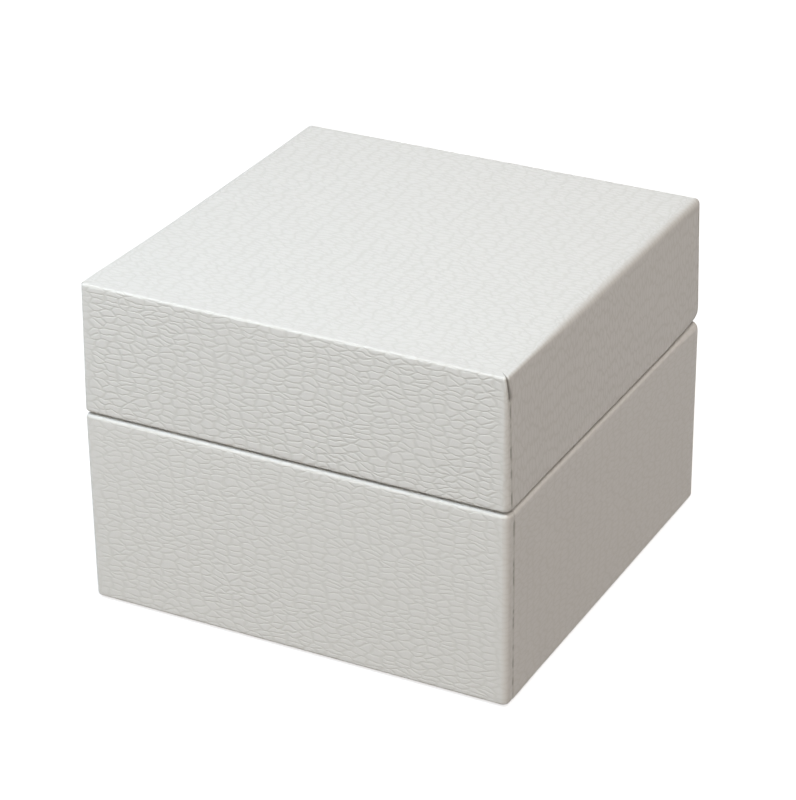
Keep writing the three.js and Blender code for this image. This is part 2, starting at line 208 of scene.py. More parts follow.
def embossed_paper(name, emboss_depth, valley_shade_color, pebble_color):
    """Pebbles are Voronoi cells, stretched along the sheet, whose edges are the valleys, painted darker as
    painted shade. The cuts map holds how dark a cut edge is, its grey pulp with painted shade in the groove,
    and how flat the pebbles were rubbed, each from 0 to 1."""
    m = new_material(name)
    sheet = add_node(m, "ShaderNodeUVMap", uv_map="sheet")
    wander = add_node(m, "ShaderNodeTexNoise", [("Vector", sheet, "UV")], Scale=170.0, Detail=2.0)
    centred = add_node(m, "ShaderNodeVectorMath", [(0, wander, "Color")], operation="SUBTRACT")
    centred.inputs[1].default_value = (0.5, 0.5, 0.5)
    bend = add_node(m, "ShaderNodeVectorMath", [(0, centred, 0)], operation="SCALE")
    bend.inputs["Scale"].default_value = 2.4 * MM
    bent = add_node(m, "ShaderNodeVectorMath", [(0, sheet, "UV"), (1, bend, 0)], operation="ADD")
    jitter = add_node(m, "ShaderNodeTexNoise", [("Vector", sheet, "UV")], Scale=620.0, Detail=1.0)
    centred_jitter = add_node(m, "ShaderNodeVectorMath", [(0, jitter, "Color")], operation="SUBTRACT")
    centred_jitter.inputs[1].default_value = (0.5, 0.5, 0.5)
    shake = add_node(m, "ShaderNodeVectorMath", [(0, centred_jitter, 0)], operation="SCALE")
    shake.inputs["Scale"].default_value = 0.8 * MM
    bent = add_node(m, "ShaderNodeVectorMath", [(0, bent, 0), (1, shake, 0)], operation="ADD")
    stretch = add_node(m, "ShaderNodeMapping", [("Vector", bent, 0)])
    stretch.inputs["Scale"].default_value = (1 / pebble_length, 1 / pebble_height, 1.0)
    cells = add_node(
        m, "ShaderNodeTexVoronoi", [("Vector", stretch, 0)], voronoi_dimensions="2D",
        feature="DISTANCE_TO_EDGE", Scale=1.0, Randomness=0.74)
    valley = add_node(
        m, "ShaderNodeMapRange", [("Value", cells, "Distance")], interpolation_type="SMOOTHSTEP")
    valley.inputs["From Max"].default_value = 0.22
    crease = add_node(m, "ShaderNodeTexNoise", [("Vector", sheet, "UV")], Scale=900.0, Detail=3.0)
    patch = add_node(m, "ShaderNodeTexNoise", [("Vector", sheet, "UV")], Scale=28.0, Detail=1.0)
    press = add_node(m, "ShaderNodeMapRange", [("Value", patch, 0)])
    press.inputs["From Min"].default_value = 0.3
    press.inputs["From Max"].default_value = 0.7
    press.inputs["To Min"].default_value = 0.6
    cuts = add_node(m, "ShaderNodeUVMap", uv_map="cuts")
    cut = add_node(m, "ShaderNodeSeparateXYZ", [(0, cuts, 0)])
    left = add_node(m, "ShaderNodeMath", [(1, cut, 1), (2, press, 0)], operation="MULTIPLY_ADD")
    left.inputs[0].default_value = -1.0
    pebble = add_node(m, "ShaderNodeMath", [(0, valley, 0), (1, left, 0)], operation="MULTIPLY")
    height = add_node(m, "ShaderNodeMath", [(0, crease, 0), (2, pebble, 0)], operation="MULTIPLY_ADD")
    height.inputs[1].default_value = 0.35
    relief = add_node(m, "ShaderNodeBump", [("Height", height, 0)], Strength=1.0, Distance=emboss_depth)
    # Painted shade: the valleys are coloured darker than the pebbles.
    tone = two_tones(m, valley, 0, valley_shade_color, pebble_color)
    # Cut edges go grey: the paper's grey pulp, with painted shade for the shadow in the groove.
    cut_pulp_and_shade = add_node(m, "ShaderNodeMix", [(0, cut, 0), (6, tone, 2)], data_type="RGBA")
    cut_pulp_and_shade.inputs[7].default_value = hex_color("#77726a")
    rough = add_node(m, "ShaderNodeMapRange", [("Value", valley, 0)])
    rough.inputs["To Min"].default_value = 0.62
    rough.inputs["To Max"].default_value = 0.46
    shader = add_node(
        m, "ShaderNodeBsdfPrincipled",
        [("Base_Color", cut_pulp_and_shade, 2), ("Roughness", rough, 0), ("Normal", relief, 0)], IOR=1.47)
    return finish_material(m, shader)


# The base's paper, the same stock as the lid's, is painted a little lighter: painted light for the floor's
# bounce on the lower shell.
lid_leatherette = embossed_paper("leatherette paper, deeply embossed", 0.070 * MM, "#e8e7e3", "#efeeeb")
base_leatherette = embossed_paper("leatherette paper, embossed", 0.046 * MM, "#efeeea", "#f4f3f0")

# Wraps
# One sheet of the paper goes round each shell, over its round rim and 8 mm down inside, and is glued.
# Where it meets near a corner its trimmed edge shows as a fine broken line, a paper's thickness proud,
# its groove painted dark over the grey pulp as painted shade.
rim_width, rim_depth = high[0] - low[0], high[1] - low[1]
shell_corner = 1.4 * MM
least_corner = 0.3 * MM
paper_thick = 0.4 * MM
rim_thick = 2.7 * MM
turn_in = 8 * MM
straight_x, straight_y = rim_width - 2 * shell_corner, rim_depth - 2 * shell_corner
corner_run = math.pi / 2 * shell_corner
runs = [straight_x, corner_run, straight_y, corner_run] * 2
marks = np.concatenate([[0], np.cumsum(runs)])
perimeter = marks[-1]


def rim_place(along, inset):
    """x and y on the box's outline, along metres anticlockwise from the front left corner and inset metres
    inside it. Each point is a corner's centre, slid along the straight sides, plus the radius outwards."""
    along = np.mod(along, perimeter)
    centre_x = np.interp(along, marks, [-1, 1, 1, 1, 1, -1, -1, -1, -1])
    centre_y = np.interp(along, marks, [-1, -1, -1, 1, 1, 1, 1, -1, -1])
    turn = np.interp(along, marks, np.radians([-90, -90, 0, 0, 90, 90, 180, 180, 270]))
    radius = np.maximum(shell_corner - inset, least_corner)
    x = centre_x * (rim_width / 2 - inset - radius) + radius * np.cos(turn)
    y = centre_y * (rim_depth / 2 - inset - radius) + radius * np.sin(turn)
    return x, y


def smooth(value, start, end):
    """0 before start, 1 after end, and a smooth S between."""
    t = np.clip((value - start) / (end - start), 0, 1)
    return t * t * (3 - 2 * t)


def ripple(x, seed):
    """A gentle wave of x with no plain repeat, between -1 and 1: four sines of unlike lengths."""
    rng = np.random.default_rng(seed)
    lengths = rng.uniform(0.6, 2.2, 4)
    phases = rng.uniform(0, 2 * np.pi, 4)
    return sum(np.sin(x / size + phase) for size, phase in zip(lengths, phases)) / 4


def add_mesh(name, points, faces, material, uvs=None):
    """A piece from arrays: points (n, 3), faces (m, 4) or lists, and UV maps of one pair per face corner."""
    mesh = bpy.data.meshes.new(name)
    mesh.from_pydata(np.asarray(points).tolist(), [], [list(face) for face in faces])
    for key, values in (uvs or {}).items():
        layer = mesh.uv_layers.new(name=key)
        layer.uv.foreach_set("vector", np.asarray(values, np.float32).ravel())
    mesh.materials.append(material)
    mesh.shade_smooth()
    piece = bpy.data.objects.new(name, mesh)
    bpy.context.scene.collection.objects.link(piece)
    return piece


def wall_rows(depth, height, edge, rim_in, rim_up, start_insets, counts):
    """The wall's line as rows of (inset, height), depth metres below the paper's face. It runs over the
    closed face, round its edge, up the wall, over an elliptic rim and down the turn-in."""
    inner = 0.9 * MM
    on_edge, on_wall, on_rim, on_inner = (np.linspace(0, 1, n + 1)[1:, None] for n in counts)
    on_edge = np.concatenate([[[0.0]], on_edge])
    flat = np.ones_like(edge)
    quarter = np.pi / 2
    insets = [np.array(start_insets)[:, None] * flat]
    heights = [depth + 0 * insets[0]]
    insets.append(edge - (edge - depth) * np.sin(on_edge * quarter))
    heights.append(edge - (edge - depth) * np.cos(on_edge * quarter))
    insets.append(depth + 0 * on_wall * flat)
    heights.append(edge + on_wall * (height - rim_up - edge))
    insets.append(rim_in - (rim_in - depth) * np.cos(on_rim * quarter))
    heights.append(height - rim_up + (rim_up - depth) * np.sin(on_rim * quarter))
    insets.append((rim_thick - inner + (inner - depth) * np.sin(on_inner * quarter)) * flat)
    heights.append((height - inner + (inner - depth) * np.cos(on_inner * quarter)) * flat)
    insets.append((rim_thick - depth) * np.ones((3, 1)) * flat)
    heights.append((height - np.linspace(inner, turn_in, 4)[1:, None]) * flat)
    return np.concatenate(insets), np.concatenate(heights)


def columns_with_cuts(cuts):
    """Places along the outline: every 2 mm on the sides, ten to a corner, and a few close beside each cut.
    The list starts just past the first cut and goes once round."""
    sides = [np.linspace(marks[i], marks[i + 1], 45 if i % 2 == 0 else 11)[:-1] for i in range(8)]
    beside = np.array([0.05, 0.12, 0.2, 0.3, 0.42, 0.6, 0.9, 1.4]) * MM
    found = np.mod(np.concatenate(sides) - cuts[0], perimeter)
    for cut in np.mod(np.array(cuts) - cuts[0], perimeter):
        apart = np.abs(np.mod(found - cut + perimeter / 2, perimeter) - perimeter / 2)
        found = found[apart > beside[-1] + 0.25 * MM]
        found = np.concatenate([found, np.mod(cut + np.concatenate([-beside, beside]), perimeter)])
    return np.sort(found) + cuts[0]


def signed_gap(along, cut):
    """Metres along the outline from the cut, between minus and plus half the perimeter."""
    return np.mod(along - cut + perimeter / 2, perimeter) - perimeter / 2


def dashes(height, seed):
    """A broken line down a cut edge: where the trimmed paper stands off the shell, from 0 to 1."""
    return smooth(ripple(height / (0.9 * MM), seed) + 0.8 * ripple(height / (0.35 * MM), seed + 1), -0.1, 0.5)


def wrap_surface(along, cuts, height, edge, rim_in, rim_up, start_insets, slant, seed):
    """Rows of the paper's face with its cut edges: (inset, height, along, darkness, path). A cut is a small
    groove that follows the wall, with the sheet on its proud side lifted by a paper's thickness. The darkness
    is the cut's grey pulp and painted shade in the groove, darkest where the paper stands off."""
    counts = (8, max(int(height / (0.8 * MM)), 8), 10, 6)
    inset, level = wall_rows(0.0, height, edge, rim_in, rim_up, start_insets, counts)
    path = np.cumsum(np.hypot(
        np.diff(inset, axis=0, prepend=inset[:1]), np.diff(level, axis=0, prepend=level[:1])), 0)
    path = path - path[len(start_insets) - 1]
    on_wall = smooth(path, 0.8 * MM, 1.4 * MM)
    spread = np.repeat(along[None, :], len(inset), axis=0)
    depth = 0.035 * MM * ripple(spread / (9 * MM), seed) * ripple(path / (8 * MM) + 1.7, seed + 9) * on_wall
    darkness = np.zeros_like(depth)
    for number, (cut, proud_side) in enumerate(cuts):
        gap = signed_gap(along, cut)[None, :]
        opened = slant[number] * (1 - smooth(path, 6.2 * MM, 6.8 * MM)) * smooth(path, 0.7 * MM, 1.3 * MM)
        drift = slant[number] * (1 - smooth(path, 0.2 * MM, 6.5 * MM)) * 1.5 * MM
        spread = spread - proud_side * drift * (1 - smooth(np.abs(gap), 0.3 * MM, 4.2 * MM))
        width = 0.32 * MM + opened * 0.08 * path
        lifted = np.maximum(0.55 * dashes(path, seed + number), opened)
        groove = np.clip(1 - (gap / width) ** 2, 0, 1)
        depth = depth + groove * on_wall * (0.05 * MM + 0.16 * MM * lifted)
        # Painted shade: the groove is darkened, most where the trimmed paper stands off and where the corner
        # opens.
        darkness = np.maximum(darkness, groove * on_wall * (0.15 + 0.7 * lifted))
        proud = 0.10 * MM * (1 - smooth(np.abs(gap), 2 * MM, 12 * MM)) * (gap * proud_side > 0)
        depth = depth - proud * on_wall
    step_in, step_up = np.gradient(inset, axis=0), np.gradient(level, axis=0)
    length = np.maximum(np.hypot(step_in, step_up), 1e-9)
    return inset + depth * step_up / length, level - depth * step_in / length, spread, darkness, path


def ring_faces(rows, columns, loop):
    """Quads between rows of a closed ring of columns, as vertex numbers, one face per row and column."""
    i = np.arange(rows if loop else rows - 1)[:, None]
    j = np.arange(columns)[None, :]
    below, above = i * columns, np.mod(i + 1, rows) * columns
    beside = np.mod(j + 1, columns)
    return np.stack([below + j, below + beside, above + beside, above + j], axis=-1)


def capped_tube(rows, columns):
    """The faces of a ring of columns carried through rows, with one flat face at each end."""
    ends = [list(range(columns)), [(rows - 1) * columns + k for k in range(columns)]]
    return ring_faces(rows, columns, False).reshape(-1, 4).tolist() + ends


def at_corners(grid, loop, lift=0.0):
    """A grid's values at its faces' corners. lift is added where a face closes the ring of columns."""
    beside = np.roll(grid, -1, axis=1)
    beside[:, -1] += lift
    if loop:
        return np.stack([grid, beside, np.roll(beside, -1, axis=0), np.roll(grid, -1, axis=0)], axis=-1)
    return np.stack([grid[:-1], beside[:-1], beside[1:], grid[1:]], axis=-1)


def add_wrap(name, cuts, shape, start_insets, slant, seed, place_section, is_lid):
    """The whole wrap: its face with cuts, then back along its glued side a paper's thickness deeper. The
    sheet map unrolls the paper: round the base as a strip, and down from the lid's top as a cross."""
    along = columns_with_cuts([cut for cut, _ in cuts])
    edge, rim_in, rim_up, height = shape(along)
    inset, level, spread, dark, path = wrap_surface(
        along, cuts, height, edge, rim_in, rim_up, start_insets, slant, seed)
    glued = wall_rows(paper_thick, height, edge, rim_in, rim_up, start_insets, (3, 3, 4, 3))
    inset = np.concatenate([inset, glued[0][::-1]])
    level = np.concatenate([level, glued[1][::-1]])
    rows, columns = inset.shape
    face_rows = len(path)
    spread = np.concatenate([spread, np.repeat(along[None, :], rows - face_rows, axis=0)])
    dark = np.concatenate([dark, np.zeros((rows - face_rows, columns))])
    path = np.concatenate([path, path[-1:] + np.linspace(0.5, 40, rows - face_rows)[:, None] * MM])
    section_inset, z = place_section(inset, level)
    x, y = rim_place(spread, section_inset)
    points = np.stack([x, y, z], axis=-1).reshape(-1, 3)
    faces = ring_faces(rows, columns, not is_lid).reshape(-1, 4)
    run = at_corners(spread, not is_lid, perimeter)
    reach = at_corners(path, not is_lid)
    if is_lid:
        sheet = cross_map(at_corners(x, False), at_corners(y, False), run, reach)
    else:
        sheet = np.stack([run - cuts[0][0], reach], axis=-1)
    # The cuts map: the cut's darkness, grey pulp with painted shade, then how flat the pebbles were rubbed.
    shade = at_corners(dark, not is_lid)
    rubbed = smooth(np.abs(x), rim_width / 2 - 2.5 * MM, rim_width / 2 - 1.2 * MM) * smooth(path, 0.0, 2 * MM)
    shade = np.stack([shade, at_corners(0.75 * rubbed, not is_lid)], axis=-1)
    faces = faces.tolist()
    sheet, shade = sheet.reshape(-1, 2), shade.reshape(-1, 2)
    if is_lid:
        faces = [face[::-1] for face in faces]
        sheet = sheet.reshape(-1, 4, 2)[:, ::-1].reshape(-1, 2)
        shade = shade.reshape(-1, 4, 2)[:, ::-1].reshape(-1, 2)
        first = list(range(columns))
        last = [(rows - 1) * columns + j for j in range(columns)][::-1]
        faces += [first, last]
        ends = np.concatenate([points[first][:, :2], points[last][:, :2]])
        sheet = np.concatenate([sheet, ends])
        shade = np.concatenate([shade, np.zeros((2 * columns, 2))])
    paper = lid_leatherette if is_lid else base_leatherette
    return add_mesh(name, points, faces, paper, {"sheet": sheet, "cuts": shade})


def cross_map(x, y, run, reach):
    """Places on a cross-shaped sheet: as they are on the top, and on a side flap the distance along the
    flap and the distance down from the top's edge."""
    middle = (marks[0:8:2] + marks[1:8:2]) / 2
    face_run = run.mean(axis=-1)
    gaps = np.stack([signed_gap(face_run, m) for m in middle])
    halves = np.array([straight_x, straight_y, straight_x, straight_y])[:, None, None] / 2
    cut_reach = halves + corner_run + lid_cut
    flap = np.argmin(np.abs(gaps) / np.where(np.arange(4)[:, None, None] % 2 == 0, cut_reach, halves), axis=0)
    side = signed_gap(run, middle[flap][..., None])
    down = rim_width / 2 - 1 * MM + reach
    u = np.choose(flap[..., None], [side, down, -side, -down])
    v = np.choose(flap[..., None], [-down, side, down, -side])
    on_top = reach <= 0
    return np.stack([np.where(on_top, x, u), np.where(on_top, y, v)], axis=-1)


def attach(piece, node, body):
    """Puts a piece in a CAD part's place, on a body, and hides the part."""
    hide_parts(node)
    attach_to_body(piece, body)


def carve(piece, corner_a, corner_b):
    """Cuts an upright block out of a piece."""
    signs = np.array([(x, y, z) for x in (0, 1) for y in (0, 1) for z in (0, 1)])
    corner_a, corner_b = np.minimum(corner_a, corner_b), np.maximum(corner_a, corner_b)
    block = add_mesh(
        "cutter", corner_a + signs * (corner_b - corner_a),
        [(0, 1, 3, 2), (4, 6, 7, 5), (0, 4, 5, 1), (2, 3, 7, 6), (0, 2, 6, 4), (1, 5, 7, 3)],
        base_leatherette)
    cutting = piece.modifiers.new("cut", "BOOLEAN")
    cutting.operation, cutting.object, cutting.solver = "DIFFERENCE", block, "EXACT"
    depsgraph = bpy.context.evaluated_depsgraph_get()
    carved = bpy.data.meshes.new_from_object(piece.evaluated_get(depsgraph))
    piece.modifiers.remove(cutting)
    piece.data = carved
    bpy.data.objects.remove(block)


foot_level = 0.45 * MM
parting_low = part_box("base_wrap")[1][2]
parting_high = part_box("lid_wrap")[0][2]
hinge = next(j for j in frame["joints"] if j["name"] == "lid_hinge")
axis_y, axis_z = hinge["pos_m"][1], hinge["pos_m"][2]
lid_top = high[2]
lid_draft = math.tan(math.radians(1.4))
lid_cut, base_cut = 0.3 * MM, 1.25 * MM
# Where the rims meet, the paper is pressed back a little, so that the parting shows as a dark line.
lid_pressed, base_pressed = 0.12 * MM, 0.06 * MM


def lid_section(inset, level):
    """The lid's inset and z: level counts down from its top, and its walls lean in by the draft."""
    z = lid_top - level
    return inset + (z - parting_high) * lid_draft, z


def base_section(inset, level):
    """The base's inset and z: level counts up from its foot."""
    return inset, foot_level + level


def lid_shape(along):
    """The lid's rounding round the outline: a crisp front edge, softer sides, and a rim that is nearly
    sharp in front and well rounded at the back, where it turns."""
    y = rim_place(along, 0.0)[1]
    backward = smooth(y, -42 * MM, -10 * MM)
    near_hinge = smooth(y, 24 * MM, 43 * MM)
    back_corner = sum(
        np.exp(-(signed_gap(along, (marks[k] + marks[k + 1]) / 2) / (5 * MM)) ** 2) for k in (3, 5))
    edge = (0.5 + 0.95 * backward) * MM
    rim_in = (0.55 + 0.85 * near_hinge) * MM
    rim_up = (0.6 + 0.8 * near_hinge + 1.6 * back_corner) * MM
    return edge, rim_in, rim_up, lid_top - parting_high - lid_pressed


def base_shape(along):
    """The base's rounding: a sharp foot and a round rim, tighter in front and taller at the back corners."""
    y = rim_place(along, 0.0)[1]
    near_hinge = smooth(y, 24 * MM, 43 * MM)
    back_corner = sum(
        np.exp(-(signed_gap(along, (marks[k] + marks[k + 1]) / 2) / (5 * MM)) ** 2) for k in (3, 5))
    edge = 0.7 * MM + 0 * along
    in_front = 1 - smooth(y, -44.8 * MM, -43.6 * MM)
    rim_in = (1.15 + 0.25 * near_hinge - 0.35 * in_front) * MM
    rim_up = (1.15 + 0.25 * near_hinge + 0.5 * back_corner - 0.35 * in_front) * MM
    return edge, rim_in, rim_up, parting_low - foot_level - base_pressed


notch_half = np.array([22.3, 0, 1.25]) * MM
notch_near = np.array([-notch_half[0], rim_depth / 2 - rim_thick - 1 * MM, axis_z - notch_half[2]])
notch_far = np.array([notch_half[0], rim_depth / 2 + 1 * MM, axis_z + notch_half[2]])

lid_cuts = [
    (marks[2] + lid_cut, 1), (marks[3] - lid_cut, -1), (marks[6] + lid_cut, 1), (marks[7] - lid_cut, -1)]
lid_wrap = add_wrap(
    "lid_paper", lid_cuts, lid_shape, np.array([40, 30, 20, 12, 7, 4, 2.0]) * MM, (1.0, 0.3, 0.35, 0.8), 3,
    lid_section, True)
carve(lid_wrap, notch_near, notch_far)
attach(lid_wrap, "lid_wrap", "lid")

base_wrap = add_wrap(
    "base_paper", [(marks[2] + base_cut, 1)], base_shape, np.array([12, 8, 4, 1.2]) * MM, (0.0,), 21,
    base_section, False)
carve(base_wrap, notch_near, notch_far)
attach(base_wrap, "base_wrap", "base")

# Shells
# Two white polystyrene mouldings, 1.8 mm thick, which the paper is glued round. What shows of them inside
# is matt, with the fine even grain that the spark-eroded mould leaves.
spark_grain = 0.35 * MM


def moulded_polystyrene():
    """Fine round bumps of the mould's grain, over slow changes of tone where the melt flowed."""
    m = new_material("moulded polystyrene, matt")
    where = add_node(m, "ShaderNodeTexCoord")
    grain = add_node(
        m, "ShaderNodeTexNoise", [("Vector", where, "Object")], Scale=1 / spark_grain, Detail=2.0)
    flow = add_node(m, "ShaderNodeTexNoise", [("Vector", where, "Object")], Scale=45.0, Detail=2.0)
    tone = two_tones(m, flow, 0, "#d4d3cf", "#e0dfdb")
    relief = add_node(m, "ShaderNodeBump", [("Height", grain, 0)], Strength=0.5, Distance=0.02 * MM)
    return finish_material(m, add_node(
        m, "ShaderNodeBsdfPrincipled", [("Base_Color", tone, 2), ("Normal", relief, 0)],
        Roughness=0.52, IOR=1.59))


def paint(node, material):
    """Gives a CAD part that stays as it is its material."""
    for place in frame["nodes"][node].material_slots:
        place.material = material


polystyrene = moulded_polystyrene()
paint("base_shell", polystyrene)
paint("lid_shell", polystyrene)

# Foot sheet
# A square of plain uncoated paper glued under the base over the turned-in edges. It is matt, and faint
# fibres and the soft cloudiness of the pulp show in it.
def uncoated_paper(name, pale, dark, fibre_length):
    """Long thin noise in two directions for the fibres, and broad noise for the clouds of pulp."""
    m = new_material(name)
    where = add_node(m, "ShaderNodeTexCoord")
    lying = add_node(m, "ShaderNodeMapping", [("Vector", where, "Object")])
    lying.inputs["Scale"].default_value = (1 / fibre_length, 7 / fibre_length, 7 / fibre_length)
    lying.inputs["Rotation"].default_value = (0, 0, 0.6)
    across = add_node(m, "ShaderNodeMapping", [("Vector", where, "Object")])
    across.inputs["Scale"].default_value = (7 / fibre_length, 1 / fibre_length, 7 / fibre_length)
    across.inputs["Rotation"].default_value = (0, 0, -0.5)
    fibres = [
        add_node(m, "ShaderNodeTexNoise", [("Vector", v, 0)], Scale=1.0, Detail=3.0) for v in (lying, across)]
    both = add_node(m, "ShaderNodeMath", [(0, fibres[0], 0), (1, fibres[1], 0)], operation="MULTIPLY")
    clouds = add_node(m, "ShaderNodeTexNoise", [("Vector", where, "Object")], Scale=160.0, Detail=3.0)
    mixed = add_node(m, "ShaderNodeMath", [(0, both, 0), (2, clouds, 0)], operation="MULTIPLY_ADD")
    mixed.inputs[1].default_value = 2.0
    spread = add_node(m, "ShaderNodeMapRange", [("Value", mixed, 0)])
    spread.inputs["From Min"].default_value = 0.6
    spread.inputs["From Max"].default_value = 1.4
    tone = two_tones(m, spread, 0, dark, pale)
    relief = add_node(m, "ShaderNodeBump", [("Height", mixed, 0)], Strength=0.5, Distance=0.04 * MM)
    return finish_material(m, add_node(
        m, "ShaderNodeBsdfPrincipled", [("Base_Color", tone, 2), ("Normal", relief, 0)],
        Roughness=0.9, IOR=1.5))


paint("foot_sheet", uncoated_paper("uncoated liner paper", "#efeeea", "#dddbd4", 1.6 * MM))

# Velvet linings
# A card collar stands up inside the base to guide the lid, a flat card covers the hinge leaf, and a ring of
# card lines the lid. Each is 0.8 or 1 mm card wrapped in ivory flocked velvet, with soft round edges.
pile_clump = 0.9 * MM


def velvet(name, ivory, shade):
    """Clumped pile: broad soft bumps with short fibres on them, a little darker where the pile is parted, and
    a sheen that lightens the cloth where it turns away."""
    m = new_material(name)
    where = add_node(m, "ShaderNodeTexCoord")
    clumps = add_node(
        m, "ShaderNodeTexNoise", [("Vector", where, "Object")], Scale=1 / pile_clump, Detail=4.0,
        Roughness=0.65)
    strokes = add_node(m, "ShaderNodeTexNoise", [("Vector", where, "Object")], Scale=70.0, Detail=2.0)
    fibres = add_node(m, "ShaderNodeTexNoise", [("Vector", where, "Object")], Scale=5200.0, Detail=2.0)
    nap = add_node(m, "ShaderNodeMath", [(0, clumps, 0), (1, strokes, 0)], operation="MULTIPLY")
    spread = add_node(m, "ShaderNodeMapRange", [("Value", nap, 0)])
    spread.inputs["From Min"].default_value = 0.12
    spread.inputs["From Max"].default_value = 0.4
    tone = two_tones(m, spread, 0, shade, ivory)
    height = add_node(m, "ShaderNodeMath", [(0, fibres, 0), (2, clumps, 0)], operation="MULTIPLY_ADD")
    height.inputs[1].default_value = 0.4
    relief = add_node(m, "ShaderNodeBump", [("Height", height, 0)], Strength=0.8, Distance=0.12 * MM)
    return finish_material(m, add_node(
        m, "ShaderNodeBsdfPrincipled", [("Base_Color", tone, 2), ("Normal", relief, 0)],
        Roughness=0.95, IOR=1.45, Sheen_Weight=0.6, Sheen_Roughness=0.35))


flocked_card = velvet("ivory flocked velvet on card", "#f1ede3", "#d9d3c5")
card_corner = 1.3 * MM
flock_edge = 0.4 * MM


def turned_out(piece):
    """Makes a closed piece's faces all point outwards."""
    shape = bmesh.new()
    shape.from_mesh(piece.data)
    bmesh.ops.recalc_face_normals(shape, faces=shape.faces)
    shape.to_mesh(piece.data)
    shape.free()
    return piece


def square_route(half, corner, open_end=None):
    """Points and outward directions round a square with round corners. It goes once round, or, given
    open_end, from the back left through the front to the back right and stops at that y."""
    reach = half - corner
    steps = np.linspace(-reach, reach, 30)
    turn = np.linspace(0, np.pi / 2, 9)
    ends = steps if open_end is None else np.linspace(-reach, open_end, 30)
    fixed = np.full(30, half)
    parts = [
        (-fixed, ends[::-1], -np.ones(30), np.zeros(30)),
        (-reach - corner * np.cos(turn), -reach - corner * np.sin(turn), -np.cos(turn), -np.sin(turn)),
        (steps, -fixed, np.zeros(30), -np.ones(30)),
        (reach + corner * np.sin(turn), -reach - corner * np.cos(turn), np.sin(turn), -np.cos(turn)),
        (fixed, ends, np.ones(30), np.zeros(30)),
    ]
    if open_end is None:
        parts += [
            (reach + corner * np.cos(turn), reach + corner * np.sin(turn), np.cos(turn), np.sin(turn)),
            (steps[::-1], fixed, np.zeros(30), np.ones(30)),
            (-reach - corner * np.sin(turn), reach + corner * np.cos(turn), -np.sin(turn), np.cos(turn)),
        ]
    x, y, nx, ny = (np.concatenate(column) for column in zip(*parts))
    keep = np.hypot(np.diff(x, append=x[0]), np.diff(y, append=y[0])) > 1e-7
    return x[keep], y[keep], nx[keep], ny[keep]


def add_band(name, inset, thick, low_z, high_z, lean, open_end=None):
    """Card stood on edge along the box's wall. A section with four round corners is carried along the
    square route, set in by lean for each metre of its height."""
    x, y, nx, ny = square_route(rim_width / 2 - inset, card_corner, open_end)
    turn = np.linspace(0, np.pi / 2, 5)
    r = min(flock_edge, thick / 2.05)
    depth = np.concatenate([r - r * np.cos(turn), thick - r + r * np.sin(turn),
                            thick - r + r * np.cos(turn), r - r * np.sin(turn)])
    level = np.concatenate([low_z + r - r * np.sin(turn), low_z + r - r * np.cos(turn),
                            high_z - r + r * np.sin(turn), high_z - r + r * np.cos(turn)])
    depth = depth + (level - low_z) * lean
    points = np.stack([x[:, None] - nx[:, None] * depth, y[:, None] - ny[:, None] * depth,
                       np.repeat(level[None, :], len(x), axis=0)], axis=-1)
    if open_end is None:
        faces = ring_faces(len(x), len(level), True).reshape(-1, 4).tolist()
    else:
        faces = capped_tube(len(x), len(level))
    return turned_out(add_mesh(name, points.reshape(-1, 3), faces, flocked_card))


collar_low, collar_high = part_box("closure_collar")
collar = add_band(
    "velvet_collar", rim_width / 2 - collar_high[0], 1.0 * MM, collar_low[2], collar_high[2], 0.0,
    collar_high[1])
attach(collar, "closure_collar", "base")

ring_low, ring_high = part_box("lid_side_lining")
lid_lining = add_band(
    "velvet_lid_lining", rim_width / 2 - ring_high[0], 0.8 * MM, ring_low[2], ring_high[2], lid_draft)
attach(lid_lining, "lid_side_lining", "lid")


def softened(name, node, radius, material):
    """A copy of a CAD part, merged into whole flat faces, with its edges rounded to the given radius."""
    shape = bmesh.new()
    shape.from_mesh(frame["nodes"][node].data)
    bmesh.ops.remove_doubles(shape, verts=shape.verts, dist=0.002 * MM)
    bmesh.ops.dissolve_limit(shape, angle_limit=math.radians(1), verts=shape.verts, edges=shape.edges)
    corners = [e for e in shape.edges if len(e.link_faces) == 2 and e.calc_face_angle(0) > math.radians(30)]
    bmesh.ops.bevel(shape, geom=corners, offset=radius, segments=3, profile=0.5, affect="EDGES",
                    clamp_overlap=True)
    bmesh.ops.recalc_face_normals(shape, faces=shape.faces)
    mesh = bpy.data.meshes.new(name)
    shape.to_mesh(mesh)
    shape.free()
    mesh.materials.clear()
    mesh.materials.append(material)
    mesh.shade_smooth()
    mesh.set_sharp_from_angle(angle=math.radians(35))
    piece = bpy.data.objects.new(name, mesh)
    bpy.context.scene.collection.objects.link(piece)
    return piece


back_card = softened("velvet_back_card", "back_lining", 0.3 * MM, flocked_card)
attach(back_card, "back_lining", "base")

